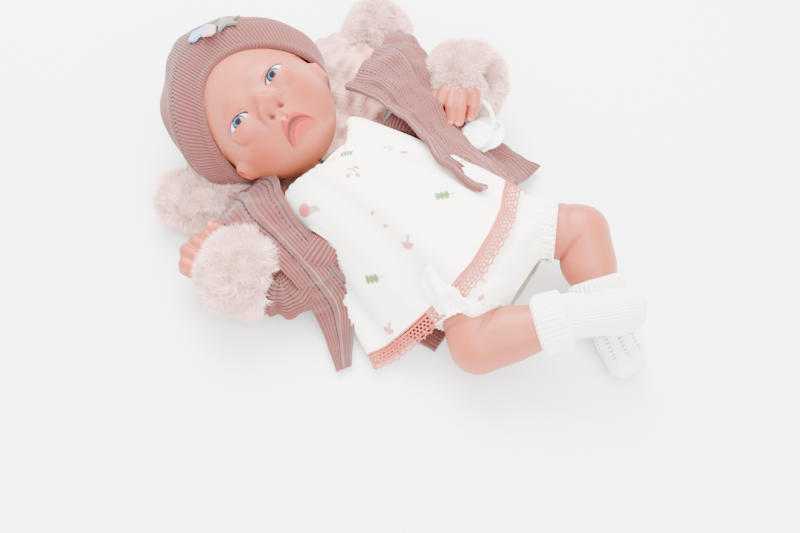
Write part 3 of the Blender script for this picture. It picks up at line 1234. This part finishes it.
def build_arms():
    for side, arm in ARMS.items():
        pieces = chain([(arm["socket"], 12), (arm["elbow"], 12.5)])
        pieces += chain([(arm["elbow"], 12.5), (mix(arm["elbow"], arm["wrist"], 0.5), 12.0),
                         (arm["wrist"], 9.8)])
        hand = HANDS[side]
        pieces += chain([(arm["wrist"], 9.8), hand["palm"][0]])
        pieces += chain(hand["palm"])
        for finger in hand["fingers"]:
            pieces += chain(finger)
        points, faces = clay(pieces, 0.75, 5)
        tint = np.broadcast_to(mix(SKIN, SKIN_LIGHT, 0.2), points.shape).copy()
        dips = np.zeros(len(points))
        for finger in hand["fingers"]:
            tip = vec(*finger[-1][0])
            before = vec(*finger[-2][0])
            way = unit(tip - before)
            near = np.linalg.norm(points - tip, axis=1)
            tint = mix(tint, srgb(232, 150, 128), (0.55 * bump(near, 6))[:, None])
            for spot, radius in finger[1:3]:
                d = np.linalg.norm(points - vec(*spot), axis=1)
                dips += 0.25 * bump(d - radius, 1.0) * (np.sin(((points - vec(*spot)) @ way) * 3.2) > 0.55)
        tint = mix(tint, srgb(206, 132, 112), np.clip(dips * 1.4, 0, 0.5)[:, None])
        heap = Heap()
        heap.add(points, faces, tint)
        # finger nails: small flat ovals on the backs of the finger tips
        for finger in hand["fingers"]:
            tip, before = vec(*finger[-1][0]), vec(*finger[-2][0])
            way = unit(tip - before)
            knuckle = unit(vec(*finger[-3][0]) - before)
            back = unit(knuckle - way * (knuckle @ way))
            back = -back if side == "left" else unit(vec(0, 0.1, 1) - way * (vec(0, 0.1, 1) @ way))
            if side == "left":
                back = unit(vec(0.2, -0.6, 0.75) - way * (vec(0.2, -0.6, 0.75) @ way))
            across = np.cross(way, back)
            radius = finger[-1][1]
            centre = tip + way * radius * 0.35
            u = np.linspace(-1, 1, 13)
            gu, gv = np.meshgrid(u, u, indexing="ij")
            disc_u = gu * np.sqrt(1 - gv ** 2 / 2)
            disc_v = gv * np.sqrt(1 - gu ** 2 / 2)
            lift = np.sqrt(np.clip(1 - (0.55 * disc_u) ** 2 - (0.5 * disc_v) ** 2, 0, 1))
            nail = (centre + across * (disc_u * radius * 0.55)[..., None]
                    + way * (disc_v * radius * 0.5)[..., None]
                    + back * (lift * radius * 1.0 - 0.05)[..., None])
            heap.grid(nail, False, False, srgb(238, 176, 160))
        heap.build("arm_skin_" + side, skin, "arm_" + side, ("arm_" + side,), "skin_vinyl")


build_arms()

# ---- knitted sleeves and fur cuffs --------------------------------------------------------------
def rib_tint(wave, dark=0.6, base=None):
    """Colour of knitted ribs: the furrows between them are darker."""
    base = ROSE if base is None else base
    furrow = np.clip(0.5 - 0.5 * wave, 0, 1)
    return mix(base * 1.03, srgb(148, 96, 94), (dark * furrow ** 2)[..., None])


def build_sleeves():
    for side, arm in ARMS.items():
        axis = unit(arm["elbow"] - arm["socket"])
        fore = unit(arm["wrist"] - arm["elbow"])
        start = arm["socket"] + axis * 5
        path = smooth_line([start, mix(start, arm["elbow"], 0.5), arm["elbow"] - axis * 3 + fore * 1,
                            arm["elbow"] + fore * 12, arm["elbow"] + fore * 24], 230)
        share = np.linspace(0, 1, len(path))
        columns = 480
        radius = 17.2 + 1.6 * bump(share - 0.12, 0.12) - 0.6 * share
        grid, angle = swept(path, radius[:, None] + np.zeros((1, columns)), columns)
        out = unit(grid - path[:, None])
        wave = np.cos(angle * 40)[None] + 0 * share[:, None]
        elbow_creases = 1.3 * np.sin(share * 60)[:, None] * bump(share - 0.6, 0.16)[:, None]
        crumple = 1.5 * ripple(grid, 24, 41) + elbow_creases
        grid = grid + out * (0.65 * wave + crumple + 0.1 * np.sin(share * 560)[:, None])[..., None]
        grid[..., 2] = np.maximum(grid[..., 2], 3.4)
        heap = Heap()
        heap.grid(grid, False, True, rib_tint(wave))
        inner = grid[0] - out[0] * 2.5
        heap.grid(np.stack([inner, grid[0]]), False, True, np.broadcast_to(ROSE * 0.8, (2, columns, 3)))
        heap.build("sleeve_knit_" + side, knit, "arm_" + side, ("sleeve_" + side,), "knit_rose")


build_sleeves()


def fur_coat(name, grid, normals, flow, count, length, seed, body, stands, wrap_rows=False, keep=None,
             under=(248, 222, 216), floor=3.0):
    """Faux fur: a soft lumpy backing and thousands of tapering, bent ribbons of pile."""
    dice = np.random.default_rng(seed)
    rows, columns = grid.shape[:2]
    lumps = ripple(grid, 15, seed + 1) * 0.9 + ripple(grid, 7, seed + 2) * 0.5
    backing = grid + normals * (lumps)[..., None]
    backing[..., 2] = np.maximum(backing[..., 2], floor - 1.0)
    tone = np.clip(0.5 + 0.3 * ripple(grid, 12, seed + 3), 0, 1)
    base = mix(srgb(240, 208, 202), srgb(*under), tone[..., None])
    heap = Heap()
    heap.grid(backing, wrap_rows, True, base)
    # strands are spread by surface area
    cell = np.linalg.norm(np.cross(np.gradient(grid, axis=0), np.gradient(grid, axis=1)), axis=-1)
    if keep is not None:
        cell = cell * keep
    chance = cell.ravel() / cell.sum()
    pick = dice.choice(rows * columns, count, p=chance)
    i, j = pick // columns, pick % columns
    i2, j2 = np.minimum(i + 1, rows - 1), (j + 1) % columns
    fi, fj = dice.random(count)[:, None], dice.random(count)[:, None]
    root = mix(mix(backing[i, j], backing[i2, j], fi), mix(backing[i, j2], backing[i2, j2], fi), fj)
    normal = unit(normals[i, j])
    comb = flow[i, j] if flow.ndim == 3 else np.broadcast_to(flow, normal.shape)
    comb = comb - normal * (comb * normal).sum(-1, keepdims=True)
    swirl = np.stack([ripple(root, 13, seed + 4), ripple(root, 13, seed + 5), ripple(root, 13, seed + 6)], -1)
    swirl -= normal * (swirl * normal).sum(-1, keepdims=True)
    lean = comb * 0.45 + swirl * 0.55 + dice.normal(0, 0.22, (count, 3))
    size = length * dice.uniform(0.6, 1.15, count)[:, None]
    way = unit(normal * 0.85 + lean * 0.6)
    across = unit(np.cross(way, dice.normal(size=(count, 3))))
    half = 0.17 * dice.uniform(0.7, 1.4, count)[:, None]
    middle = root + way * size * 0.55
    end = middle + unit(way + lean * 0.7) * size * 0.45
    for joint in (middle, end):
        joint[:, 2] = np.maximum(joint[:, 2], floor - 1.5)
    points = np.stack([root - across * half, root + across * half, middle - across * half * 0.8,
                       middle + across * half * 0.8, end], 1)
    shade = dice.uniform(0, 1, count)[:, None]
    near = np.clip(0.5 + 0.35 * ripple(root, 11, seed + 7), 0, 1)[:, None]
    colour = mix(srgb(246, 220, 214), srgb(255, 243, 239), 0.55 * shade + 0.45 * near)
    dark = colour * vec(0.86, 0.80, 0.79)
    colours = np.stack([dark, dark, colour, colour, mix(colour, srgb(252, 240, 236), 0.4)], 1)
    base_index = (np.arange(count) * 5)[:, None]
    square = base_index + np.array([[0, 1, 3, 2]])
    point = base_index + np.array([[2, 3, 4]])
    heap.add(points.reshape(-1, 3), square, colours.reshape(-1, 3))
    heap.faces.append(point + heap.count - count * 5)
    return heap.build(name, fur_soft, body, stands, "fur_pink")


def build_cuffs():
    for side, arm in ARMS.items():
        fore = unit(arm["wrist"] - arm["elbow"])
        centre = arm["cuff"]
        rows, columns = 100, 150
        t = np.linspace(0.16, 0.90, rows)
        long_axis = 25.0
        along = -np.cos(t * math.pi) * long_axis
        outer = 26.5 * np.sin(t * math.pi) ** 0.62
        path = centre + fore * along[:, None]
        grid, _ = swept(path, outer[:, None] + np.zeros((1, columns)), columns)
        grid += (1.5 * ripple(grid, 26, 51))[..., None] * unit(grid - path[:, None])
        normals = grid_normals(grid, False, True)
        if (normals[rows // 2, 0] @ (grid[rows // 2, 0] - centre)) < 0:
            normals = -normals
        flow = fore * 0.5 + vec(0, 0, -0.25)
        # the rim turns inwards round the wrist
        mouth = mix(path[-1], grid[-1], np.linspace(1, 0.55, 8)[:, None, None]) - fore * (
            np.linspace(0, 1, 8) ** 2 * 9)[:, None, None]
        full = np.concatenate([grid, mouth[1:]])
        full_normals = np.concatenate([normals, np.repeat(normals[-1:], 7, 0)])
        fur_coat("fur_cuff_" + side, full, full_normals, flow, 33000, 7.5, 60 if side == "left" else 70,
                 "arm_" + side, ("cuff_" + side,))


build_cuffs()

# ---- hood ---------------------------------------------------------------------------------------
def build_fur_lump(name, centre, radii, turned, seed, count, stands):
    theta = np.linspace(0.02, math.pi - 0.02, 90)[:, None]
    phi = np.linspace(0, TAU, 150, endpoint=False)[None]
    ball = np.stack([np.sin(theta) * np.cos(phi), np.sin(theta) * np.sin(phi), np.cos(theta) + 0 * phi], -1)
    spin = turn("Z", turned)
    grid = (ball * vec(*radii)) @ spin.T + vec(*centre)
    normals = unit((ball / vec(*radii)) @ spin.T)
    grid = grid + normals * (1.6 * ripple(grid, 24, seed + 20))[..., None]
    grid[..., 2] = np.maximum(grid[..., 2], 3.5)
    keep = (grid[..., 2] > 4.5).astype(float)
    fur_coat(name, grid, normals, vec(0.15, 0, -0.5), count, 7.5, seed, "torso", stands, keep=keep)


build_fur_lump("hood_fur_right", (-140, -54, 18), (34, 21, 16.5), 20, 80, 33000, ("hood_fur",))
build_fur_lump("hood_fur_left", (-126, 146, 22), (23, 22, 20), 0, 90, 30000, ())


def hood_height(points):
    """Soft folds of a bunched cloth."""
    return 2.2 * ripple(points, 34, 301) + 1.5 * ripple(points, 17, 302)


HOOD_ROWS = [
    [(-72, -50, 4), (-100, -56, 5), (-130, -58, 6), (-150, -58, 6), (-165, -50, 5)],
    [(-72, -20, 4), (-100, -20, 4), (-135, -20, 4), (-165, -22, 5), (-182, -22, 6)],
    [(-72, 20, 4), (-100, 20, 4), (-140, 20, 4), (-170, 20, 6), (-186, 20, 8)],
    [(-72, 58, 6), (-95, 62, 10), (-125, 64, 12), (-160, 62, 11), (-184, 60, 8)],
    [(-78, 86, 16), (-98, 90, 30), (-118, 92, 34), (-147, 92, 27), (-172, 88, 9)],
    [(-84, 108, 18), (-100, 114, 33), (-120, 117, 34), (-150, 120, 26), (-170, 118, 8)],
    [(-92, 128, 12), (-104, 134, 22), (-124, 138, 24), (-148, 140, 17), (-162, 140, 5)],
]


def patch(rows, along_count, across_count):
    """Smooth surface through rows of control points."""
    across = np.array([smooth_line(row, across_count) for row in rows])
    return smooth_line(across, along_count)


def upward(grid):
    normal = grid_normals(grid)
    return normal if normal[..., 2].mean() > 0 else -normal


def face_up(grid):
    """The same grid, its columns reversed where that makes its outer face look up."""
    return grid if grid_normals(grid)[..., 2].mean() > 0 else grid[:, ::-1]


def build_hood():
    grid = face_up(patch(HOOD_ROWS, 300, 220))
    lift = hood_height(grid)
    ridge = 2.0 * np.sin(grid[..., 0] / 6.5 + 1.4 * ripple(grid, 40, 303)) * step(70, 95, grid[..., 1])
    fuzz = 0.22 * ripple(grid, 1.6, 304)
    smooth_face = grid + upward(grid) * (lift + ridge)[..., None]
    grid = smooth_face + upward(smooth_face) * fuzz[..., None]
    inner = smooth_face - vec(0, 0, 2.2)
    grid[..., 2] = np.maximum(grid[..., 2], 5.4)
    inner[..., 2] = np.maximum(inner[..., 2], 2.8)
    tone = np.clip(0.5 + 0.35 * ripple(grid, 9, 305), 0, 1)
    tint = mix(srgb(214, 178, 170), srgb(238, 214, 206), tone[..., None])
    heap = layered(grid, 2.4, inner=inner)
    heap.tints = [tint.reshape(-1, 3), np.broadcast_to(ROSE, (grid.shape[0] * grid.shape[1], 3))]
    hood = heap.build("hood_fleece", fur_soft, "torso", ("cardigan_hood",), "fur_pink")


build_hood()

# ---- cardigan -----------------------------------------------------------------------------------
PANEL_ROWS = {
    "left": [
        [(-92, 56, 63), (-97, 86, 60), (-103, 122, 48), (-110, 150, 33)],
        [(-68, 55.5, 71), (-71, 82, 68), (-77, 110, 62), (-84, 136, 47)],
        [(-40, 47.5, 76), (-43, 70, 70), (-48, 94, 63), (-52, 116, 55)],
        [(-16, 37, 78), (-15, 62, 65), (-14, 84, 44), (-14, 105, 29)],
        [(5, 28, 79), (6, 56, 62), (8, 84, 32), (10, 108, 16)],
        [(23, 23.5, 79), (24, 54, 58), (28, 84, 24), (33, 112, 9)],
        [(40, 22.7, 77), (41, 52, 55), (42, 82, 20), (43, 113, 7)],
    ],
    "right": [
        [(-118, -40, 27), (-122, -46, 26), (-127, -52, 23), (-131, -57, 19)],
        [(-96, -27, 50), (-101, -42, 49), (-107, -56, 44), (-112, -68, 36)],
        [(-78, -40, 58), (-81, -54, 58), (-84, -67, 55), (-87, -80, 46)],
        [(-52, -54, 56), (-55, -63, 56), (-57, -72, 52), (-59, -80, 45)],
        [(-22, -61, 44), (-26, -69, 45), (-29, -78, 43), (-32, -87, 38)],
        [(-6, -61, 20), (-9, -71, 18), (-11, -81, 15), (-14, -91, 10)],
        [(18, -101, 4.4), (16, -104, 4.4), (14, -107, 4.4), (12, -110, 4.4)],
    ],
}


def knit_relief(across, along, width, rib=2.8, lace_every=5):
    """Height and darkness of ribs with a line of small eyelets in every few furrows, in mm."""
    wave = np.cos(TAU * across / rib)
    column = np.round(across / (rib * lace_every) - 0.5) * rib * lace_every + rib * lace_every * 0.5
    beside = across - column
    eyelet = bump(beside, 0.8) * step(-0.1, 1.0, np.sin(TAU * along / 4.2))
    inside = (across > 5) & (across < width - 4)
    height = 0.36 * wave - 0.6 * eyelet * inside + 0.04 * np.sin(TAU * along / 1.5)
    return height, wave, eyelet * inside


def build_panel(side):
    grid = patch(PANEL_ROWS[side], 460, 250)
    flipped = grid_normals(grid)[..., 2].mean() < 0
    if flipped:
        grid = grid[:, ::-1]
    gaps = np.linalg.norm(np.diff(grid, axis=1), axis=-1)
    across = np.concatenate([np.zeros((len(grid), 1)), np.cumsum(gaps, axis=1)], axis=1)
    if flipped:
        across = across[:, -1:] - across
    width = np.abs(across).max(axis=1, keepdims=True)
    gaps = np.linalg.norm(np.diff(grid, axis=0), axis=-1).mean(axis=1)
    along = np.r_[0, np.cumsum(gaps)][:, None] + 0 * across
    share = across / width
    mean_width = width.mean()
    height, wave, eyelet = knit_relief(share * mean_width, along, mean_width)
    rolled = 2.2 * bump(share - 0.02, 0.07) + 2.6 * bump(share - 0.52, 0.055)
    groove = 1.3 * bump(share - 0.11, 0.022) + 1.2 * bump(share - 0.60, 0.02)
    soft = 1.5 * ripple(grid, 30, 311) + 0.7 * ripple(grid, 14, 312)
    lifted = upward(grid)
    inner = grid + lifted * (soft - 1.7)[..., None]
    inner[..., 2] = np.maximum(inner[..., 2], 2.6)
    grid = grid + lifted * (height + rolled - groove + soft)[..., None]
    grid[..., 2] = np.maximum(grid[..., 2], 4.6)
    tint = rib_tint(wave)
    tint = mix(tint, srgb(112, 66, 66), np.clip(0.75 * eyelet + 0.35 * groove, 0, 1)[..., None])
    tint = mix(tint, ROSE * 1.16, (0.35 * np.clip(rolled / 2.6, 0, 1))[..., None])
    heap = layered(grid, 1.9, inner=inner)
    heap.tints = [tint.reshape(-1, 3), rib_tint(-wave, base=ROSE * 0.9).reshape(-1, 3)]
    panel = heap.build("cardigan_panel_" + side, knit, None, ("cardigan_front_" + side,), "knit_rose")
    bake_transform(panel)


for panel_side in PANEL_ROWS:
    build_panel(panel_side)


def build_cardigan_back():
    x = np.linspace(-70, 58, 260)
    y = np.linspace(-60, 60, 480)
    gx, gy = np.meshgrid(x, y, indexing="ij")
    grid = face_up(np.stack([gx, gy, 2.7 + 0 * gx], -1))
    wave = np.cos(TAU * grid[..., 1] / 2.8)
    inner = grid - vec(0, 0, 2.1)
    grid[..., 2] += 0.35 * wave
    heap = layered(grid, 2.0, inner=inner)
    tint = rib_tint(wave).reshape(-1, 3)
    heap.tints = [tint, tint]
    back = heap.build("cardigan_back_knit", knit, "torso", ("cardigan_back",), "knit_rose")


build_cardigan_back()

# ---- stuffed body -------------------------------------------------------------------------------
BODY_RINGS = [(-67, 14, 10), (-63, 23, 17), (-54, 34, 23), (-40, 41, 26), (-15, 44, 28), (15, 45, 28.5),
              (45, 45, 28), (66, 41, 25), (78, 30, 18), (84, 10, 6)]


def build_body():
    rings = smooth_line([vec(*ring) for ring in BODY_RINGS], 120)
    angle = np.linspace(0, TAU, 180, endpoint=False)
    c, s = np.cos(angle), np.sin(angle)
    power = 2 / 2.5
    grid = np.stack([rings[:, :1] + 0 * c, -1 + rings[:, 1:2] * np.sign(c) * np.abs(c) ** power,
                     39 + rings[:, 2:3] * np.sign(s) * np.abs(s) ** power], -1)
    heap = Heap()
    heap.grid(grid, False, True)
    for row in (0, -1):
        middle = grid[row].mean(0)
        cap = mix(grid[row], middle, np.linspace(0, 0.99, 6)[:, None, None])
        heap.grid(cap, False, True)
    body = heap.build("body_cloth", body_cloth, "torso", ("cloth_body",), "body_cotton")


body_cloth = material("body_cotton", (240, 226, 212), 0.85, mottle=0.03, bumps=(("weave", 1500, 0.02),))
build_body()

# ---- pacifier and inner parts -------------------------------------------------------------------
def repaint(finish, *names):
    for name in names:
        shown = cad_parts[name]
        for place in shown.material_slots:
            place.material = finish


repaint(white_plastic, "pacifier_shield", "pacifier_button", "pacifier_ring")
repaint(material("teat_silicone", (236, 232, 224), 0.3), "pacifier_teat")
repaint(material("bright_steel", (190, 192, 196), 0.28, Metallic=0.95), "pacifier_magnet", "door_screw",
        "case_screws", "button_spring")
repaint(material("cell_steel_shell", (205, 207, 210), 0.22, Metallic=0.9), "button_cells")
repaint(material("tie_nylon_white", (232, 232, 226), 0.4), "cable_ties", "neck_socket",
        "shoulder_socket_left", "shoulder_socket_right", "hip_socket_left", "hip_socket_right")
repaint(material("case_white", (234, 233, 228), 0.38), "sound_case_front", "sound_case_back",
        "battery_door")
repaint(material("board_solder_green", (34, 108, 68), 0.45), "circuit_board")
repaint(material("speaker_cone_black", (26, 26, 28), 0.55), "speaker", "mouth_sensor")
repaint(material("switch_cap_black", (30, 30, 32), 0.45), "power_switch")
repaint(material("button_cap_red", (196, 44, 48), 0.35), "press_button")
repaint(material("lead_pvc_black", (28, 28, 30), 0.5), "sensor_lead")

# ---- camera, light and floor --------------------------------------------------------------------
def build_stage():
    back = vec(0.2886, -0.4444, 0.8480)
    back = unit(back)
    right = vec(math.cos(math.radians(33)), math.sin(math.radians(33)), 0)
    up = np.cross(back, right)
    camera = bpy.data.cameras.new("camera")
    camera.lens = 50
    camera.sensor_width = 36
    holder = bpy.data.objects.new("camera", camera)
    bpy.context.collection.objects.link(holder)
    place = np.eye(4)
    place[:3, 0], place[:3, 1], place[:3, 2] = right, up, back
    place[:3, 3] = vec(228.85, -366.19, 669.96) * MM
    holder.matrix_world = Matrix(place.tolist())
    bpy.context.scene.camera = holder
    for name, spot, size, power, warmth in (
            ("key", (-0.55, 0.55, 1.15), 0.9, 72.0, (1.0, 0.985, 0.96)),
            ("fill", (0.75, -0.55, 1.0), 1.2, 36.0, (0.97, 0.985, 1.0)),
            ("top", (0.1, 0.0, 1.5), 1.4, 32.0, (1.0, 1.0, 1.0))):
        lamp = bpy.data.lights.new(name, "AREA")
        lamp.size = size
        lamp.energy = power
        lamp.color = warmth
        obj = bpy.data.objects.new(name, lamp)
        bpy.context.collection.objects.link(obj)
        obj.location = spot
        aim = -unit(np.array(spot) - vec(-0.02, 0, 0.03))
        z = -aim
        x = unit(np.cross(vec(0, 0, 1), z) + vec(1e-6, 0, 0))
        frame3 = np.stack([x, np.cross(z, x), z], 1)
        turned = np.eye(4)
        turned[:3, :3] = frame3
        turned[:3, 3] = spot
        obj.matrix_world = Matrix(turned.tolist())
    world = bpy.data.worlds.new("studio")
    world.use_nodes = True
    world.node_tree.nodes["Background"].inputs["Color"].default_value = (1, 1, 1, 1)
    world.node_tree.nodes["Background"].inputs["Strength"].default_value = 3.2
    bpy.context.scene.world = world
    floor = Heap()
    reach = np.linspace(-2500, 2500, 41)
    gx, gy = np.meshgrid(reach, reach, indexing="ij")
    floor.grid(np.stack([gx, gy, 0 * gx - 0.4], -1))
    finish = material("floor_pale", (246, 246, 246), 0.8)
    floor.build("floor", finish)


build_stage()
